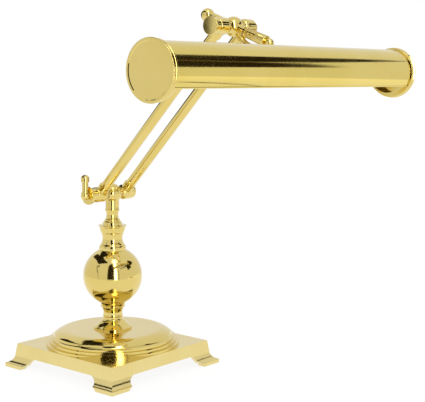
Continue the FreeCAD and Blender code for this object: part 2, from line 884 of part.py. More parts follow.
def pivot_tee():
    """The ball-shaped tee on top of the stem that the lower pivot bolt goes through."""
    neck = size("tee_neck_radius")
    ball = size("tee_ball_radius")
    rise = size("tee_neck_rise")
    outline = [
        (rod_hole, -rise),
        (neck, -rise),
        (neck, -chord_height(ball, neck)),
        (ball, 0, Around(ball)),
        (0, ball, Around(ball)),
        (0, size("tee_rod_depth") - rise),
        (rod_hole, size("tee_rod_depth") - rise),
    ]
    body = turned_up("pivot_tee", outline)
    flat_sides(body, ball + PAST)
    bore_across(body, bolt_seat, ball)
    place(body, up=lower_pivot)


def pivot_washers(label, bore):
    inner = size("hub_half_width")
    section = ring(bore, size("washer_radius"), inner, washer_outer)
    return turned_across(label, section, mirrored(section))


def pivot_bolt(label, left, right):
    radius = size("bolt_radius")
    return turned_across(label, [(left, 0), (right, 0), (right, radius), (left, radius)])


def pivot_collar(label, bore, width):
    """The plain collar outside the left eye."""
    bevel = size("edge_round")
    outer = size("collar_radius")
    left = -eye_outer - width
    right = -eye_outer
    outline = [
        (left, bore),
        (right, bore),
        (right, outer - bevel),
        (right - bevel, outer, QUARTER),
        (left + bevel, outer),
        (left, outer - bevel, QUARTER),
    ]
    return turned_across(label, outline)


def pivot_disc(label, bore, outer, inner_face, outer_face, closed=False):
    """The thin round disc with a rounded rim outside the collar; a closed one hides the bolt's end."""
    bevel = size("edge_round")
    middle = (inner_face + outer_face) / 2
    floor = [(-outer_face, 0), (-middle, 0), (-middle, bore)] if closed else [(-outer_face, bore)]
    outline = floor + [
        (-inner_face, bore),
        (-inner_face, outer - bevel),
        (-inner_face - bevel, outer, QUARTER),
        (bevel - outer_face, outer),
        (-outer_face, outer - bevel, QUARTER),
    ]
    return turned_across(label, outline)


def pivot_cap(label, bore, outer, width):
    """The domed nut on the right end of a pivot bolt."""
    wall = size("cap_wall")
    crown = width * 2 / 3
    outline = [
        (eye_outer, bore),
        (eye_outer + width - wall, bore),
        (eye_outer + width - wall, 0),
        (eye_outer + width, 0),
        (eye_outer + width - crown, outer, dome(outer, crown)),
        (eye_outer, outer),
    ]
    return turned_across(label, outline)


def lower_pivot_set():
    """Bolt, washers, clamp collar and domed nut of the lower pivot, all fixed to the tee."""
    cap_floor = eye_outer + size("lower_cap_width") - size("cap_wall")
    lever_floor = lower_disc_outer + size("lever_socket_depth")
    place(pivot_bolt("lower_pivot_bolt", size("running_gap") - lever_floor, cap_floor), up=lower_pivot)
    place(pivot_washers("lower_washers", bolt_seat), up=lower_pivot)
    place(pivot_collar("clamp_collar", bolt_seat, size("lower_collar_width")), up=lower_pivot)
    cap = pivot_cap("lower_cap_nut", bolt_seat, size("lower_cap_radius"), size("lower_cap_width"))
    place(cap, up=lower_pivot)


def clamp_lever_set():
    """The clamp disc, its upright lever and the lever's tip, which turn together on the bolt's end."""
    disc = pivot_disc("clamp_disc", bolt_run, size("lower_disc_radius"), lower_disc_inner, lower_disc_outer)
    place(disc, up=lower_pivot)
    hub = size("lever_hub_radius")
    shaft = size("lever_radius")
    pin_top = size("lever_length") - size("lever_tip_length") + size("lever_pin_depth")
    outline = [
        (0, -size("lever_hub_drop")),
        (hub, 0, dome(hub, size("lever_hub_drop"))),
        (shaft, size("lever_neck_rise"), GENTLE),
        (shaft, pin_top),
        (0, pin_top),
    ]
    lever = turned_up("clamp_lever", outline)
    side = rectangle(shaft, hub + PAST, -hub - PAST, hub + PAST)
    cut(lever, draw(sketch_on(lever, "XZ_Plane"), side), hub * 2 + PAST, symmetric=True)
    socket = draw_circle(sketch_on(lever, "YZ_Plane", lift=shaft - size("lever_socket_depth")), bolt_run)
    cut(lever, socket, size("lever_socket_depth") + PAST)
    place(lever, across=-lever_centre, up=lower_pivot)
    tip = size("lever_tip_radius")
    bottom = size("lever_length") - size("lever_tip_length")
    crown = size("lever_tip_length") / 3
    bevel = size("edge_round")
    hole = shaft + size("seat_gap")
    outline = [
        (hole, bottom),
        (tip - bevel, bottom),
        (tip, bottom + bevel, QUARTER),
        (tip, size("lever_length") - crown),
        (0, size("lever_length"), dome(tip, crown)),
        (0, pin_top),
        (hole, pin_top),
    ]
    place(turned_up("lever_tip", outline), across=-lever_centre, up=lower_pivot)


def arm_eye(label, side, bore, along, up, turn):
    """A round eye on a pivot bolt, with a socketed boss for one rod of the arm."""
    barrel = size("eye_radius")
    inner_round = size("eye_inner_round")
    outer_round = size("eye_outer_round")
    outline = [
        (washer_outer, 0),
        (eye_outer, 0),
        (eye_outer, barrel - outer_round),
        (eye_outer - outer_round, barrel, QUARTER),
        (washer_outer + inner_round, barrel),
        (washer_outer, barrel - inner_round, QUARTER),
    ]
    body = turned_across(label, outline if side > 0 else mirrored(outline))
    middle = eye_middle * side
    boss = draw_circle(sketch_on(body, "XY_Plane"), size("eye_boss_radius"), across=middle)
    pad(body, boss, size("eye_boss_reach"))
    sketch = draw_circle(sketch_on(body, "YZ_Plane"), bore)
    cut(body, sketch, eye_outer * 2 + PAST, symmetric=True)
    socket = sketch_on(body, "XY_Plane", lift=size("rod_start"))
    draw_circle(socket, size("rod_radius") + size("seat_gap"), across=middle)
    cut(body, socket, size("eye_boss_reach"))
    place(body, along=along, up=up, turn=turn)


def arm_rod(label, side):
    """One of the two tubes of the arm, seated in the bosses of its eyes."""
    body = new_body(label)
    middle = eye_middle * side
    sketch = draw_circle(sketch_on(body, "XY_Plane", lift=size("rod_start")), size("rod_radius"), across=middle)
    draw_circle(sketch, size("rod_radius") - size("rod_wall"), across=middle)
    pad(body, sketch, size("arm_centres") - size("rod_start") * 2)
    place(body, up=lower_pivot, turn=size("arm_lean"))


def arm_set():
    """Two rods between four eyes, with the upper pivot's bolt, washers, collar, disc and cap."""
    lean = size("arm_lean")
    for name, side in (("left", -1), ("right", 1)):
        arm_eye(f"lower_eye_{name}", side, bolt_run, 0, lower_pivot, lean)
        arm_eye(f"upper_eye_{name}", side, bolt_seat, upper_pivot_along, upper_pivot, lean + 2 * QUARTER)
        arm_rod(f"arm_rod_{name}", side)
    cap_floor = eye_outer + size("upper_cap_width") - size("cap_wall")
    collar = pivot_collar("upper_collar", bolt_seat, size("upper_collar_width"))
    outer = size("upper_disc_radius")
    disc = pivot_disc("upper_disc", bolt_seat, outer, upper_disc_inner, upper_disc_outer, closed=True)
    bolt_end = size("running_gap") - (upper_disc_inner + upper_disc_outer) / 2
    bolt = pivot_bolt("upper_pivot_bolt", bolt_end, cap_floor)
    cap = pivot_cap("upper_cap_nut", bolt_seat, size("upper_cap_radius"), size("upper_cap_width"))
    for body in (collar, disc, bolt, pivot_washers("upper_washers", bolt_seat), cap):
        place(body, along=upper_pivot_along, up=upper_pivot)


def at_grip(body):
    """Place a body on the upper pivot with its own Z along the falling line of the grip."""
    place(body, along=upper_pivot_along, up=upper_pivot, turn=size("grip_fall") + QUARTER)


def head_hub():
    """The hub of the shade: a ball with a boss for the switch, one for the rear ball and a link stub."""
    ball = size("head_ball_radius")
    front = size("front_boss_radius")
    rear = size("rear_boss_radius")
    outline = [
        (0, -size("rear_boss_reach")),
        (rear, -size("rear_boss_reach")),
        (rear, -chord_height(ball, rear)),
        (ball, 0, Around(ball)),
        (front, chord_height(ball, front), Around(ball)),
        (front, size("front_boss_reach")),
        (0, size("front_boss_reach")),
    ]
    body = turned_up("head_hub", outline)
    flat_sides(body, ball + PAST)
    tilt = size("link_fall") - size("grip_fall")
    pad(body, draw_circle(sketch_on(body, "XY_Plane", tilt=tilt), size("stub_radius")), size("stub_reach"))
    bore_across(body, bolt_run, ball)
    switch_floor = size("front_boss_reach") - size("switch_depth")
    sketch = sketch_on(body, "XY_Plane", lift=switch_floor)
    cut(body, draw_circle(sketch, size("switch_radius") + size("seat_gap")), size("switch_depth"))
    sketch = sketch_on(body, "XY_Plane", lift=-size("rear_boss_reach") - PAST)
    stud = size("rear_stud_radius") + size("seat_gap")
    cut(body, draw_circle(sketch, stud), size("rear_stud_depth") + PAST)
    sketch = sketch_on(body, "XY_Plane", tilt=tilt, lift=size("stub_reach") - size("stub_socket_depth"))
    cut(body, draw_circle(sketch, size("link_stud_radius") + size("seat_gap")), size("stub_socket_depth") + PAST)
    at_grip(body)


def rear_ball():
    """The ball on a neck behind the hub, with the stud that screws it in."""
    ball = size("rear_ball_radius")
    neck = size("rear_neck_radius")
    stud = size("rear_stud_radius")
    reach = -size("rear_ball_reach")
    start = -size("rear_boss_reach")
    stud_end = start + size("rear_stud_depth") - size("running_gap")
    outline = [
        (0, reach - ball),
        (ball, reach, Around(ball)),
        (neck, reach + chord_height(ball, neck), Around(ball)),
        (neck, start),
        (stud, start),
        (stud, stud_end),
        (0, stud_end),
    ]
    at_grip(turned_up("rear_ball", outline))


def switch_set():
    """The rotary switch in the hub, and the reeded grip, spindle and end knob that turn it."""
    face = size("front_boss_reach")
    floor = face - size("switch_depth")
    spindle = size("spindle_radius")
    run = spindle + size("running_gap")
    spindle_floor = face - size("spindle_depth")
    outline = [
        (0, floor),
        (size("switch_radius"), floor),
        (size("switch_radius"), face),
        (run, face),
        (run, spindle_floor),
        (0, spindle_floor),
    ]
    at_grip(turned_up("switch_body", outline))
    grip_start = face + size("grip_gap")
    grip_end = grip_start + size("grip_length")
    rear = size("grip_rear_radius")
    front = size("grip_front_radius")
    band = size("grip_band")
    step = size("grip_band_step")
    bevel = size("edge_round")
    seat = spindle + size("seat_gap")
    outline = [
        (seat, grip_start),
        (rear + step - bevel, grip_start),
        (rear + step, grip_start + bevel, QUARTER),
        (rear + step, grip_start + band),
        (rear, grip_start + band),
        (front, grip_end - band),
        (front + step, grip_end - band),
        (front + step, grip_end - bevel),
        (front + step - bevel, grip_end, QUARTER),
        (seat, grip_end),
    ]
    grip = turned_up("switch_grip", outline)
    flute_length = size("grip_length") - band * 2
    slope = arc_tangent((front - rear) / flute_length)
    centre = rear + size("flute_radius") - size("flute_depth")
    flute = sketch_on(grip, "XY_Plane", along=-centre, up=grip_start + band, tilt=slope)
    feature = cut(grip, draw_circle(flute, size("flute_radius")), flute_length)
    reeding = grip.newObject("PartDesign::PolarPattern", "switch_grip_reeding")
    reeding.Originals = [feature]
    axis = next(item for item in grip.Origin.OriginFeatures if item.Role == "Z_Axis")
    reeding.Axis = (axis, [""])
    reeding.Angle = 360
    reeding.Occurrences = FLUTE_COUNT
    grip.Tip = reeding
    at_grip(grip)
    knob = size("knob_radius")
    neck = size("knob_neck_radius")
    knob_centre = grip_end + size("knob_neck_rise") + chord_height(knob, neck)
    spindle_end = knob_centre
    outline = [
        (seat, grip_end),
        (neck, grip_end),
        (neck, grip_end + size("knob_neck_rise")),
        (knob, knob_centre, Around(knob)),
        (0, knob_centre + knob, Around(knob)),
        (0, spindle_end),
        (seat, spindle_end),
    ]
    at_grip(turned_up("grip_knob", outline))
    spindle_start = spindle_floor + size("running_gap")
    shaft = new_body("switch_spindle")
    pad(shaft, draw_circle(sketch_on(shaft, "XY_Plane", lift=spindle_start), spindle), spindle_end - spindle_start)
    at_grip(shaft)


def shade_link():
    """The bent link: a straight run from the hub, one bend, and a straight run at the shade's axis."""
    body = new_body("shade_link")
    fall = size("link_fall")
    turn = fall - link_arrival
    trim = size("link_bend") * tangent(turn / 2)
    start = size("stub_reach")
    start_along = -start * cosine(fall)
    start_up = -start * sine(fall)
    bend_start = (corner_along + trim * cosine(fall), corner_up + trim * sine(fall))
    bend_end = (corner_along - trim * cosine(link_arrival), corner_up - trim * sine(link_arrival))
    end_reach = size("shade_radius") + size("saddle_height")
    end = (end_reach * cosine(link_arrival) - size("shade_reach"), end_reach * sine(link_arrival) - size("shade_drop"))
    path = [(start_along, start_up), bend_start, (*bend_end, -turn), end]
    spine = draw(sketch_on(body, "YZ_Plane"), path, closed=False)
    profile = sketch_on(body, "XY_Plane", along=start_along, up=start_up, tilt=fall + QUARTER)
    draw_circle(profile, size("link_radius"))
    pipe = body.newObject("PartDesign::AdditivePipe", "shade_link_sweep")
    pipe.Profile = profile
    pipe.Spine = spine
    spigot = sketch_on(body, "XY_Plane", along=start_along, up=start_up, tilt=fall - QUARTER)
    spigot_length = size("stub_socket_depth") - size("running_gap")
    pad(body, draw_circle(spigot, size("link_stud_radius")), spigot_length)
    stud = sketch_on(body, "XY_Plane", along=end[0], up=end[1], tilt=link_arrival + QUARTER)
    pad(body, draw_circle(stud, size("link_stud_radius")), end_reach - nut_inner)
    place(body, along=upper_pivot_along, up=upper_pivot)


def at_shade(body, facing_link=False):
    """Place a body on the shade's axis, either upright or with its own Z towards the link."""
    turn = link_arrival - QUARTER if facing_link else 0
    place(body, along=shade_along, up=shade_up, turn=turn)


def link_saddle():
    """The flared boss between the link and the shade, hollowed to the shade's curve."""
    foot = size("saddle_radius")
    bottom = chord_height(size("shade_radius"), foot)
    top = size("shade_radius") + size("saddle_height")
    shoulder = size("shade_radius") + size("saddle_edge")
    outline = [
        (size("link_stud_radius") + size("seat_gap"), bottom),
        (foot, bottom),
        (foot, shoulder),
        (size("saddle_top_radius"), top, -GENTLE),
        (size("link_stud_radius") + size("seat_gap"), top),
    ]
    body = turned_up("link_saddle", outline)
    sketch = draw_circle(sketch_on(body, "YZ_Plane"), size("shade_radius") + size("seat_gap"))
    cut(body, sketch, foot * 2 + PAST, symmetric=True)
    at_shade(body, facing_link=True)


def link_nut():
    body = new_body("link_nut")
    sketch = draw(sketch_on(body, "XY_Plane", lift=nut_inner), hexagon(size("link_nut_radius")))
    draw_circle(sketch, size("link_stud_radius") + size("seat_gap"))
    pad(body, sketch, size("link_nut_thickness"))
    at_shade(body, facing_link=True)


def shade_shell():
    """The rolled sheet of the shade, open below, with a beaded lip along each edge."""
    body = new_body("shade_shell")
    outer = size("shade_radius")
    opening = size("shade_opening")
    wrap = 360 - opening * 2
    outline = [
        (outer * sine(opening), -outer * cosine(opening)),
        (-outer * sine(opening), -outer * cosine(opening), wrap),
        (-shade_inner * sine(opening), -shade_inner * cosine(opening)),
        (shade_inner * sine(opening), -shade_inner * cosine(opening), -wrap),
    ]
    pad(body, draw(sketch_on(body, "YZ_Plane"), outline), shell_half * 2, symmetric=True)
    middle = (outer + shade_inner) / 2
    beads = sketch_on(body, "YZ_Plane")
    draw_circle(beads, size("lip_bead_radius"), across=middle * sine(opening), up=-middle * cosine(opening))
    draw_circle(beads, size("lip_bead_radius"), across=-middle * sine(opening), up=-middle * cosine(opening))
    pad(body, beads, shell_half * 2, symmetric=True)
    hole = sketch_on(body, "XY_Plane", tilt=link_arrival - QUARTER)
    cut(body, draw_circle(hole, size("link_stud_radius") + size("seat_gap")), outer + PAST)
    at_shade(body)


def shade_cap(label, side):
    """A turned end cap: a spigot in the shell, a ring, a groove and a beaded rim round a plain face."""
    depth = size("cap_depth")
    rim = size("cap_radius")
    groove = size("cap_groove_radius")
    ring_width = size("cap_ring_width")
    ring_radius = size("cap_ring_radius")
    spigot_outer = shade_inner - size("seat_gap") - size("seat_gap")
    spigot_inner = spigot_outer - size("cap_spigot_wall")
    face = depth - size("cap_recess")
    face_inner = face - size("cap_face_thickness")
    bevel = size("edge_round")
    outline = [
        (face_inner, 0),
        (face, 0),
        (face, spigot_outer),
        (depth, spigot_outer + size("cap_recess")),
        (depth, rim - bevel),
        (depth - bevel, rim, QUARTER),
        (depth - size("cap_rim_width") + bevel, rim),
        (ring_width + size("cap_groove_width"), groove),
        (ring_width, groove),
        (ring_width - bevel, ring_radius, GENTLE),
        (bevel, ring_radius),
        (0, ring_radius - bevel, QUARTER),
        (0, spigot_outer),
        (-size("cap_spigot_depth"), spigot_outer),
        (-size("cap_spigot_depth"), spigot_inner),
        (face_inner, spigot_inner),
    ]
    placed = [(step[0] + shell_half, *step[1:]) for step in outline]
    at_shade(turned_across(label, placed if side > 0 else mirrored(placed)))


def socket_bracket():
    """The strip inside the shade under the link's nut, with a tab at each end for a lamp holder."""
    body = new_body("socket_bracket")
    thickness = size("strip_thickness")
    outline = both_sides([
        (strip_half, strip_outer),
        (strip_half, -size("tab_drop")),
        (strip_half - thickness, -size("tab_drop")),
        (strip_half - thickness, strip_inner),
    ])
    pad(body, draw(sketch_on(body, "XZ_Plane"), outline), size("strip_width"), symmetric=True)
    sketch = draw_circle(sketch_on(body, "XY_Plane"), size("link_stud_radius") + size("seat_gap"))
    cut(body, sketch, strip_outer + PAST)
    screw = size("screw_radius") + size("seat_gap")
    sketch = draw_circle(sketch_on(body, "YZ_Plane"), screw, up=size("bulb_lift"))
    cut(body, sketch, strip_half * 2 + PAST, symmetric=True)
    at_shade(body, facing_link=True)


def at_lamps(body):
    """Place a body on the lamps' axis, which lies a little towards the link from the shade's."""
    along = shade_along + size("bulb_lift") * cosine(link_arrival)
    up = shade_up + size("bulb_lift") * sine(link_arrival)
    place(body, along=along, up=up)


def lamp(name, side):
    """One lamp holder, with the screw base and the glass of the lamp in it."""
    outer = size("socket_radius")
    wall = size("socket_wall")
    bevel = size("edge_round")
    screw = size("screw_radius") + size("seat_gap")
    screw_end = holder_back - size("screw_depth")
    floor = holder_back - size("socket_floor")
    holder = [
        (holder_mouth, outer - wall),
        (floor, outer - wall),
        (floor, 0),
        (screw_end, 0),
        (screw_end, screw),
        (holder_back, screw),
        (holder_back, outer - bevel),
        (holder_back - bevel, outer, QUARTER),
        (holder_mouth, outer),
    ]
    base_radius = size("bulb_base_radius")
    base_end = holder_mouth + size("bulb_base_length")
    base_wall = size("bulb_base_wall")
    contact = size("bulb_contact_radius")
    taper = size("bulb_base_taper")
    base = [
        (holder_mouth, base_radius - base_wall),
        (base_end, base_radius - base_wall),
        (base_end + taper, contact - base_wall),
        (base_end + taper, 0),
        (base_end + taper + base_wall, 0),
        (base_end + taper + base_wall, contact),
        (base_end, base_radius),
        (holder_mouth, base_radius),
    ]
    glass = size("bulb_glass")
    radius = size("bulb_radius")
    neck = base_radius
    neck_end = holder_mouth - size("bulb_neck_rise")
    tip = holder_mouth - size("bulb_length")
    bulb = [
        (holder_mouth, neck - glass),
        (holder_mouth, neck),
        (neck_end, radius, GENTLE),
        (tip + radius, radius),
        (tip, 0, QUARTER),
        (tip + glass, 0),
        (tip + radius, radius - glass, -QUARTER),
        (neck_end, radius - glass),
    ]
    for label, outline in ((f"socket_{name}", holder), (f"bulb_base_{name}", base), (f"bulb_{name}", bulb)):
        at_lamps(turned_across(label, outline if side > 0 else mirrored(outline)))


def socket_screws():
    """The two screws that hold the lamp holders to the strip's tabs."""
    shank = size("screw_radius")
    head = size("screw_head_radius")
    tip = holder_back - size("screw_depth") + size("running_gap")
    top = strip_half + size("screw_head_rise")
    screw = [
        (tip, 0),
        (top, 0),
        (strip_half, head, dome(head, size("screw_head_rise"))),
        (strip_half, shank),
        (tip, shank),
    ]
    at_lamps(turned_across("socket_screws", screw, mirrored(screw)))


def check_pieces():
    """Stop if an object failed, or if a feature left its body's volume as it was."""
    for item in document.Objects:
        if "Invalid" in item.State or "Error" in item.State:
            raise RuntimeError(f"{item.Name} failed: {item.State}")
    for body in pieces:
        if body.Shape.isNull() or not body.Shape.isValid():
            raise RuntimeError(f"{body.Label} has no valid shape")
        before = 0
        for feature in body.Group:
            if feature.isDerivedFrom("PartDesign::Feature"):
                if abs(feature.Shape.Volume - before) < 1e-3:
                    raise RuntimeError(f"{feature.Name} changes nothing")
                before = feature.Shape.Volume


base_plate()
base_disc()
base_weight()
base_cover()
cord_bushing()
stem_rod()
stem_washer()
stem_nut()
stem_foot()
stem_ball()
ball_collar()
stem_finial()
pivot_tee()
lower_pivot_set()
clamp_lever_set()
arm_set()
head_hub()
rear_ball()
switch_set()
shade_link()
link_saddle()
link_nut()
shade_shell()
shade_cap("shade_cap_left", -1)
shade_cap("shade_cap_right", 1)
socket_bracket()
lamp("left", -1)
lamp("right", 1)
socket_screws()

document.recompute()
check_pieces()
os.makedirs("parts", exist_ok=True)
for body in pieces:
    body.Shape.exportStep(f"parts/{body.Label}.step")
    print(f"{body.Label}: {len(body.Shape.Solids)} solids, {body.Shape.Volume:.1f} mm3")
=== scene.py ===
import json
import math

import bmesh
import bpy
import numpy as np
from mathutils import Matrix


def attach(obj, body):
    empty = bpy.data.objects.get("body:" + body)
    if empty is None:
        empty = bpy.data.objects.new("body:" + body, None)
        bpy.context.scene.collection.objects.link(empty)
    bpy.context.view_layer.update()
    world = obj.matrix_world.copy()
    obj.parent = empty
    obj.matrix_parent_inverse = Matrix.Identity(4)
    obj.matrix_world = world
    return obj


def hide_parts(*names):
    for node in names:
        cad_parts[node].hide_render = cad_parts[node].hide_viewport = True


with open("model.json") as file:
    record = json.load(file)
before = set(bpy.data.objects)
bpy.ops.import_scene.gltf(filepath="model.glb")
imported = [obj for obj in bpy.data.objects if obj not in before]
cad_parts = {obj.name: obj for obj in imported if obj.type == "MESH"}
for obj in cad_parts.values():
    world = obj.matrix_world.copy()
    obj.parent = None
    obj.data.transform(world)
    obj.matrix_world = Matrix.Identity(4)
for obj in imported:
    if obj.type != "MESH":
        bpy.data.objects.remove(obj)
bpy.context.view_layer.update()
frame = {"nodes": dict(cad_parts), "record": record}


# Shader maths.

class Flow:
    """A socket in one material; arithmetic on it adds Math nodes."""

    def __init__(self, tree, socket):
        self.tree = tree
        self.socket = socket

    def node(self, kind, settings=None, inputs=None, output=0):
        """Add a node: its settings first, then values or links for its sockets."""
        made = self.tree.nodes.new(kind)
        for name, value in (settings or {}).items():
            setattr(made, name, value)
        for key, value in (inputs or {}).items():
            if isinstance(value, Flow):
                self.tree.links.new(value.socket, made.inputs[key])
            else:
                made.inputs[key].default_value = value
        return Flow(self.tree, made.outputs[output])

    def math(self, operation, *values):
        return self.node("ShaderNodeMath", {"operation": operation}, dict(enumerate(values)))

    def __add__(self, other):
        return self.math("ADD", self, other)

    def __mul__(self, other):
        return self.math("MULTIPLY", self, other)

    def between(self, low, high):
        """0 below low, 1 above high, and smooth between them."""
        limits = {"From Min": low, "From Max": high}
        return self.node("ShaderNodeMapRange", {"interpolation_type": "SMOOTHSTEP"}, {"Value": self, **limits})

    def blend(self, first, second):
        """The first colour where this value is 0 and the second where it is 1.

        The Mix node's sockets 6 and 7 are its two colours, and its output 2 is the mixed colour.
        """
        return self.node("ShaderNodeMix", {"data_type": "RGBA"}, {0: self, 6: first, 7: second}, output=2)


def new_material(name):
    """An empty material, its Flow, its surface shader and its object coordinates."""
    material = bpy.data.materials.new(name)
    material.use_nodes = True
    tree = material.node_tree
    flow = Flow(tree, None)
    shader = tree.nodes["Principled BSDF"]
    place = flow.node("ShaderNodeTexCoord", output=3)
    return material, flow, shader, place


def feed(flow, shader, name, value):
    flow.tree.links.new(value.socket, shader.inputs[name])


def set_constants(shader, **values):
    for name, value in values.items():
        shader.inputs[name.replace("_", " ")].default_value = value


def noise(place, scale, detail):
    return place.node("ShaderNodeTexNoise", None, {"Vector": place, "Scale": scale, "Detail": detail})


def stretched(place, scale):
    """The coordinates drawn out, so that a pattern on them lies in long streaks."""
    return place.node("ShaderNodeMapping", None, {"Vector": place, "Scale": scale})


BRASS_LIGHT = (0.80, 0.640, 0.220, 1.0)
BRASS_DEEP = (0.73, 0.565, 0.155, 1.0)
ROLLED_LIGHT = (0.80, 0.640, 0.190, 1.0)
ROLLED_DEEP = (0.74, 0.580, 0.135, 1.0)
CASTING_LIGHT = (0.82, 0.680, 0.290, 1.0)
CASTING_DEEP = (0.77, 0.615, 0.215, 1.0)
TARNISH = (0.52, 0.38, 0.10, 1.0)
LAMP_THREAD_PITCH = 0.0028


def brass(name, roughness, streak_scale, streak_bump, light, deep, lacquer):
    """Lacquered brass: cloudy tone, polishing streaks, and faint marks with a little tarnish."""
    material, flow, shader, place = new_material(name)
    clouds = noise(place, 22.0, 4.0).between(0.30, 0.72)
    marks = noise(place, 95.0, 5.0).between(0.60, 0.80)
    streaks = noise(stretched(place, streak_scale), 1.0, 3.0)
    tone = (clouds * 0.55 + streaks * 0.30).blend(light, deep)
    feed(flow, shader, "Base Color", (marks * 0.10).blend(tone, TARNISH))
    feed(flow, shader, "Roughness", clouds * 0.05 + marks * 0.05 + streaks * 0.05 + roughness)
    bump = flow.node("ShaderNodeBump", None, {"Strength": streak_bump, "Distance": 0.0002, "Height": streaks})
    feed(flow, shader, "Normal", bump)
    set_constants(shader, Metallic=1.0, Coat_Weight=lacquer, Coat_Roughness=0.05, Coat_IOR=1.45)
    return material


def plated_steel():
    """Brass-plated steel with turning marks, duller than the polished pieces."""
    material, flow, shader, place = new_material("plated_steel")
    grain = noise(stretched(place, (900.0, 120.0, 120.0)), 1.0, 2.0)
    wear = noise(place, 60.0, 4.0).between(0.45, 0.70)
    feed(flow, shader, "Base Color", wear.blend((0.60, 0.48, 0.24, 1.0), (0.52, 0.50, 0.46, 1.0)))
    feed(flow, shader, "Roughness", grain * 0.14 + wear * 0.08 + 0.22)
    bump = flow.node("ShaderNodeBump", None, {"Strength": 0.12, "Distance": 0.0002, "Height": grain})
    feed(flow, shader, "Normal", bump)
    set_constants(shader, Metallic=1.0)
    return material


def ballast_iron():
    """Sand-cast iron under black paint, with a pitted skin and some rust."""
    material, flow, shader, place = new_material("ballast_iron")
    pits = noise(place, 420.0, 6.0)
    rust = noise(place, 38.0, 5.0).between(0.56, 0.74)
    feed(flow, shader, "Base Color", (rust * 0.6).blend((0.030, 0.029, 0.028, 1.0), (0.105, 0.050, 0.028, 1.0)))
    feed(flow, shader, "Roughness", pits * 0.25 + 0.55)
    bump = flow.node("ShaderNodeBump", None, {"Strength": 0.5, "Distance": 0.0006, "Height": pits})
    feed(flow, shader, "Normal", bump)
    set_constants(shader, Metallic=0.2)
    return material


def dark_plastic():
    """Moulded phenolic, nearly black, with a fine grain."""
    material, flow, shader, place = new_material("dark_plastic")
    grain = noise(place, 700.0, 3.0)
    swirl = noise(place, 55.0, 4.0).between(0.4, 0.7)
    feed(flow, shader, "Base Color", swirl.blend((0.016, 0.012, 0.010, 1.0), (0.030, 0.020, 0.015, 1.0)))
    feed(flow, shader, "Roughness", grain * 0.12 + 0.32)
    bump = flow.node("ShaderNodeBump", None, {"Strength": 0.15, "Distance": 0.0002, "Height": grain})
    feed(flow, shader, "Normal", bump)
    return material


def lamp_glass():
    """Frosted lamp glass, white with a faint unevenness of the frosting."""
    material, flow, shader, place = new_material("lamp_glass")
    frost = noise(place, 160.0, 4.0)
    feed(flow, shader, "Base Color", frost.blend((0.80, 0.79, 0.76, 1.0), (0.90, 0.89, 0.87, 1.0)))
    feed(flow, shader, "Roughness", frost * 0.15 + 0.28)
    set_constants(shader, Subsurface_Weight=0.2, Coat_Weight=0.4, Coat_Roughness=0.15)
    return material


def lamp_cap():
    """The lamp's rolled aluminium base, with its thread as fine ridges along X."""
    material, flow, shader, place = new_material("lamp_cap")
    along = place.node("ShaderNodeSeparateXYZ", None, {0: place})
    turns = along * (2 * math.pi / LAMP_THREAD_PITCH)
    ridge = turns.math("SINE", turns)
    scratches = noise(place, 240.0, 4.0)
    feed(flow, shader, "Base Color", scratches.blend((0.60, 0.59, 0.56, 1.0), (0.74, 0.73, 0.70, 1.0)))
    feed(flow, shader, "Roughness", scratches * 0.18 + 0.26)
    bump = flow.node("ShaderNodeBump", None, {"Strength": 0.7, "Distance": 0.0007, "Height": ridge})
    feed(flow, shader, "Normal", bump)
    set_constants(shader, Metallic=1.0)
    return material


FINISHES = {
    "polished_brass": brass("polished_brass", 0.045, (60.0, 60.0, 900.0), 0.015, BRASS_LIGHT, BRASS_DEEP, 0.30),
    "cast_brass": brass("cast_brass", 0.12, (420.0, 60.0, 60.0), 0.030, CASTING_LIGHT, CASTING_DEEP, 0.35),
    "shade_brass": brass("shade_brass", 0.065, (14.0, 700.0, 700.0), 0.010, ROLLED_LIGHT, ROLLED_DEEP, 0.10),
    "ballast_iron": ballast_iron(),
    "plated_steel": plated_steel(),
    "dark_plastic": dark_plastic(),
    "lamp_glass": lamp_glass(),
    "lamp_cap": lamp_cap(),
}


body_of = {node: body for body, nodes in frame["record"]["behaviour"]["bodies"].items() for node in nodes}
slot_of = {entry["node"]: entry["material_slot"] for entry in frame["record"]["subparts"]}


def dress_nodes():
    """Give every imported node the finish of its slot."""
    for name, node in frame["nodes"].items():
        node.data.materials.clear()
        node.data.materials.append(FINISHES[slot_of[name]])


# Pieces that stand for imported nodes.

MERGE_DISTANCE = 1e-7
FLAT_WITHIN = 0.5
BEVEL_STEPS = 3
BASE_EDGE_ROUND = 0.0009
BASE_EDGE_STEEPEST = 20.0


def softened(name, width, steepest):
    """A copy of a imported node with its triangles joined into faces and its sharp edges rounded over.

    Corners closer than a tenth of a micrometre are merged, faces within half a degree of one plane
    become one face, and each edge steeper than the given angle gets a rounded bevel of the given width.
    """
    source = frame["nodes"][name]
    work = bmesh.new()
    work.from_mesh(source.data)
    bmesh.ops.remove_doubles(work, verts=work.verts, dist=MERGE_DISTANCE)
    limit = math.radians(FLAT_WITHIN)
    bmesh.ops.dissolve_limit(work, angle_limit=limit, verts=work.verts, edges=work.edges)
    sharp = [edge for edge in work.edges if edge.calc_face_angle(0.0) > math.radians(steepest)]
    bmesh.ops.bevel(
        work, geom=sharp, offset=width, segments=BEVEL_STEPS, profile=0.5, affect="EDGES", clamp_overlap=True)
    bmesh.ops.recalc_face_normals(work, faces=work.faces)
    for face in work.faces:
        face.smooth = True
    mesh = bpy.data.meshes.new(f"{name}_soft")
    work.to_mesh(mesh)
    work.free()
    mesh.materials.append(source.data.materials[0])
    piece = bpy.data.objects.new(f"{name}_soft", mesh)
    bpy.context.scene.collection.objects.link(piece)
    weigh = piece.modifiers.new("normals", "WEIGHTED_NORMAL")
    weigh.keep_sharp = False
    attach(piece, body_of[name])
    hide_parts(name)


# The studio.

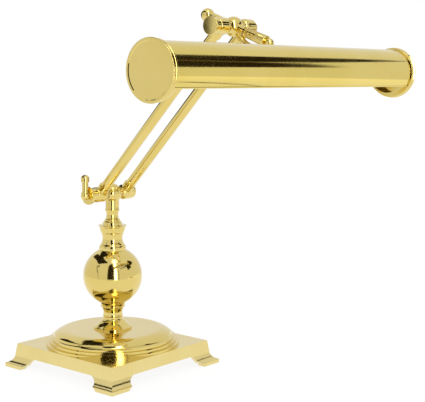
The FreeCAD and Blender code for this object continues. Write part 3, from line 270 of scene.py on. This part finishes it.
CAMERA_PLACE = (-0.745354, -0.760191, 0.301816)
CAMERA_YAW = 40.0229
CAMERA_PITCH = 6.9606
CAMERA_ROLL = 0.3567
CAMERA_LENS = 88.15
SENSOR_WIDTH = 36.0
WORLD_STRENGTH = 0.86
FLOOR_REACH = 3.0
FLOOR_GLOW = 0.90
FADE_STARTS = 0.5
FADE_ENDS = 1.2


def add_camera():
    data = bpy.data.cameras.new("view")
    data.sensor_width = SENSOR_WIDTH
    data.lens = CAMERA_LENS
    data.clip_end = 30.0
    camera = bpy.data.objects.new("view", data)
    turn = Matrix.Rotation(math.radians(CAMERA_YAW - 90.0), 4, "Z")
    tip = Matrix.Rotation(math.radians(90.0 - CAMERA_PITCH), 4, "X")
    roll = Matrix.Rotation(math.radians(CAMERA_ROLL), 4, "Z")
    camera.matrix_world = Matrix.Translation(CAMERA_PLACE) @ turn @ tip @ roll
    bpy.context.scene.collection.objects.link(camera)
    bpy.context.scene.camera = camera


def add_lamp(name, place, target, width, height, power):
    data = bpy.data.lights.new(name, "AREA")
    data.shape = "RECTANGLE"
    data.size = width
    data.size_y = height
    data.energy = power
    lamp = bpy.data.objects.new(name, data)
    direction = np.array(target) - np.array(place)
    lamp.location = place
    yaw = math.atan2(direction[1], direction[0])
    pitch = math.atan2(direction[2], math.hypot(direction[0], direction[1]))
    lamp.rotation_euler = (math.pi / 2 + pitch, 0.0, yaw - math.pi / 2)
    lamp.visible_camera = False
    lamp.visible_glossy = False
    bpy.context.scene.collection.objects.link(lamp)


def world_light():
    """A plain white world, white to the camera, and slightly less to the surfaces."""
    world = bpy.data.worlds.new("studio")
    world.use_nodes = True
    tree = world.node_tree
    background = tree.nodes["Background"]
    flow = Flow(tree, None)
    path = tree.nodes.new("ShaderNodeLightPath")
    seen = Flow(tree, path.outputs["Is Camera Ray"])
    background.inputs["Color"].default_value = (1.0, 1.0, 1.0, 1.0)
    strength = seen * (1.0 - WORLD_STRENGTH) + WORLD_STRENGTH
    tree.links.new(strength.socket, background.inputs["Strength"])
    bpy.context.scene.world = world


def toward(centre, azimuth, elevation, distance):
    """The point at a distance from a centre, in a direction given in degrees."""
    azimuth = math.radians(azimuth)
    elevation = math.radians(elevation)
    level = distance * math.cos(elevation)
    across = centre[0] + level * math.cos(azimuth)
    along = centre[1] + level * math.sin(azimuth)
    return (across, along, centre[2] + distance * math.sin(elevation))


def studio_card(name, points, faces, colour, strength):
    """A card that only reflections show, dark or glowing."""
    mesh = bpy.data.meshes.new(name)
    mesh.from_pydata(points, [], faces)
    material = bpy.data.materials.new(name)
    material.use_nodes = True
    shader = material.node_tree.nodes["Principled BSDF"]
    set_constants(shader, Base_Color=(0.0, 0.0, 0.0, 1.0), Specular_IOR_Level=0.0)
    set_constants(shader, Emission_Color=colour, Emission_Strength=strength)
    mesh.materials.append(material)
    card = bpy.data.objects.new(name, mesh)
    bpy.context.scene.collection.objects.link(card)
    card.visible_camera = False
    card.visible_diffuse = False
    card.visible_shadow = False
    card.visible_transmission = False


def bent_card(name, centre, columns, distance, colour, strength=1.0):
    """A card bent round a centre: columns of azimuth with the lowest and highest elevation, in degrees."""
    points = []
    for azimuth, low, high in columns:
        points += [toward(centre, azimuth, low, distance), toward(centre, azimuth, high, distance)]
    faces = [(2 * index, 2 * index + 1, 2 * index + 3, 2 * index + 2) for index in range(len(columns) - 1)]
    studio_card(name, points, faces, colour, strength)


def on_plane(azimuth, distance, places):
    """Points on an upright plane across an azimuth, from their sideways place and height."""
    turn = math.radians(azimuth)
    run = np.array([math.cos(turn), math.sin(turn), 0.0])
    side = np.array([-math.sin(turn), math.cos(turn), 0.0])
    return [tuple(run * distance + side * across + np.array([0.0, 0.0, height])) for across, height in places]


BALL = (0.0, 0.0, 0.0943)
ROD_MIDDLE = (-0.018, -0.080, 0.260)
DARK = (0.022, 0.016, 0.010, 1.0)
DIM = (0.16, 0.13, 0.09, 1.0)
WHITE = (1.0, 0.98, 0.93, 1.0)
SHADE_FLAG = on_plane(-35.0, 0.70, [(-0.46, 0.42), (-0.145, 0.42), (-0.145, 0.50), (-0.46, 0.78)])
SHADE_FADE = on_plane(-35.0, 0.72, [(-0.47, 0.42), (-0.140, 0.42), (-0.140, 0.53), (-0.47, 0.86)])
DISC_FLAG = on_plane(140.0, 0.36, [(0.10, 0.33), (0.1405, 0.33), (0.1405, 0.40), (0.10, 0.40)])
LIP_FLAG = on_plane(-31.0, 0.45, [(-0.31, 0.045), (-0.17, 0.052), (-0.17, 0.056), (-0.31, 0.066)])


def add_cards():
    """Dark flags and light strips, placed where the lamp's polished faces mirror them."""
    corner = [(82, 24, 36), (100, 34, 50), (116, 41, 62), (148, 40, 64), (170, 50, 62), (192, 55, 60)]
    bent_card("corner_flag", BALL, corner, 1.7, DARK)
    bent_card("rod_flag", ROD_MIDDLE, [(52, -12, 22), (76, 8, 45), (112, 22, 62)], 0.30, DARK)
    bent_card("seam", BALL, [(146, 33, 37), (156, 22, 26), (165, 11, 15), (172, -14, -10)], 1.6, DARK)
    bent_card("operator", BALL, [(-155, -8, 44), (-150, -8, 52), (-137, -8, 56), (-129, -8, 34)], 1.5, DARK)
    bent_card("strip", BALL, [(-127, -12, 70), (-118, -12, 70)], 1.4, WHITE, 8.0)
    bent_card("strip_top", BALL, [(-140, 60, 74), (-120, 56, 74), (-98, 60, 74)], 1.42, WHITE, 3.0)
    bent_card("floor_screen", BALL, [(-75, -40, -3), (-45, -40, -3), (-10, -40, -3)], 1.2, WHITE, 1.15)
    bent_card("screen_edge", BALL, [(-111.5, -8, 30), (-109.5, -8, 30)], 1.5, DARK)
    top = [(-103, 31, 33), (-80, 33, 36), (-60, 33, 37), (-37, 28, 45), (-24, 29, 33)]
    bent_card("screen_top", BALL, top, 1.5, DARK)
    studio_card("shade_flag", SHADE_FLAG, [(0, 1, 2, 3)], DARK, 1.0)
    studio_card("shade_flag_fade", SHADE_FADE, [(0, 1, 2, 3)], DIM, 1.0)
    studio_card("disc_flag", DISC_FLAG, [(0, 1, 2, 3)], DARK, 1.0)
    studio_card("lip_flag", LIP_FLAG, [(0, 1, 2, 3)], DARK, 1.0)


def add_floor():
    """A white floor that keeps a light shadow and fades into the white background."""
    reach = FLOOR_REACH
    corners = [(-reach, -reach, 0), (reach, -reach, 0), (reach, reach, 0), (-reach, reach, 0)]
    mesh = bpy.data.meshes.new("floor")
    mesh.from_pydata(corners, [], [(0, 1, 2, 3)])
    material, flow, shader, place = new_material("floor")
    tree = material.node_tree
    set_constants(shader, Base_Color=(0.93, 0.93, 0.93, 1.0), Roughness=0.9, Specular_IOR_Level=0.0)
    glow = flow.node("ShaderNodeEmission", None, {"Color": (1.0, 1.0, 1.0, 1.0), "Strength": 1.0})
    lit = Flow(tree, shader.outputs[0])
    mix = flow.node("ShaderNodeMixShader", None, {0: FLOOR_GLOW, 1: lit, 2: glow})
    distance = place.node("ShaderNodeVectorMath", {"operation": "LENGTH"}, {0: place}, output=1)
    clear = flow.node("ShaderNodeBsdfTransparent")
    fade = distance.between(FADE_STARTS, FADE_ENDS)
    whole = flow.node("ShaderNodeMixShader", None, {0: fade, 1: mix, 2: clear})
    tree.links.new(whole.socket, tree.nodes["Material Output"].inputs["Surface"])
    mesh.materials.append(material)
    floor = bpy.data.objects.new("floor", mesh)
    bpy.context.scene.collection.objects.link(floor)


def add_studio():
    add_camera()
    world_light()
    add_floor()
    add_cards()
    add_lamp("key", (-1.3, -0.9, 1.5), (0, -0.1, 0.2), 0.9, 0.9, 9.0)
    add_lamp("fill", (1.2, -1.3, 0.9), (0, -0.1, 0.2), 0.8, 1.1, 4.0)
    add_lamp("top", (0.1, 0.2, 1.6), (0, -0.1, 0.2), 1.2, 0.6, 5.0)


dress_nodes()
softened("base_plate", BASE_EDGE_ROUND, BASE_EDGE_STEEPEST)
add_studio()

bpy.context.scene.view_settings.view_transform = "Standard"
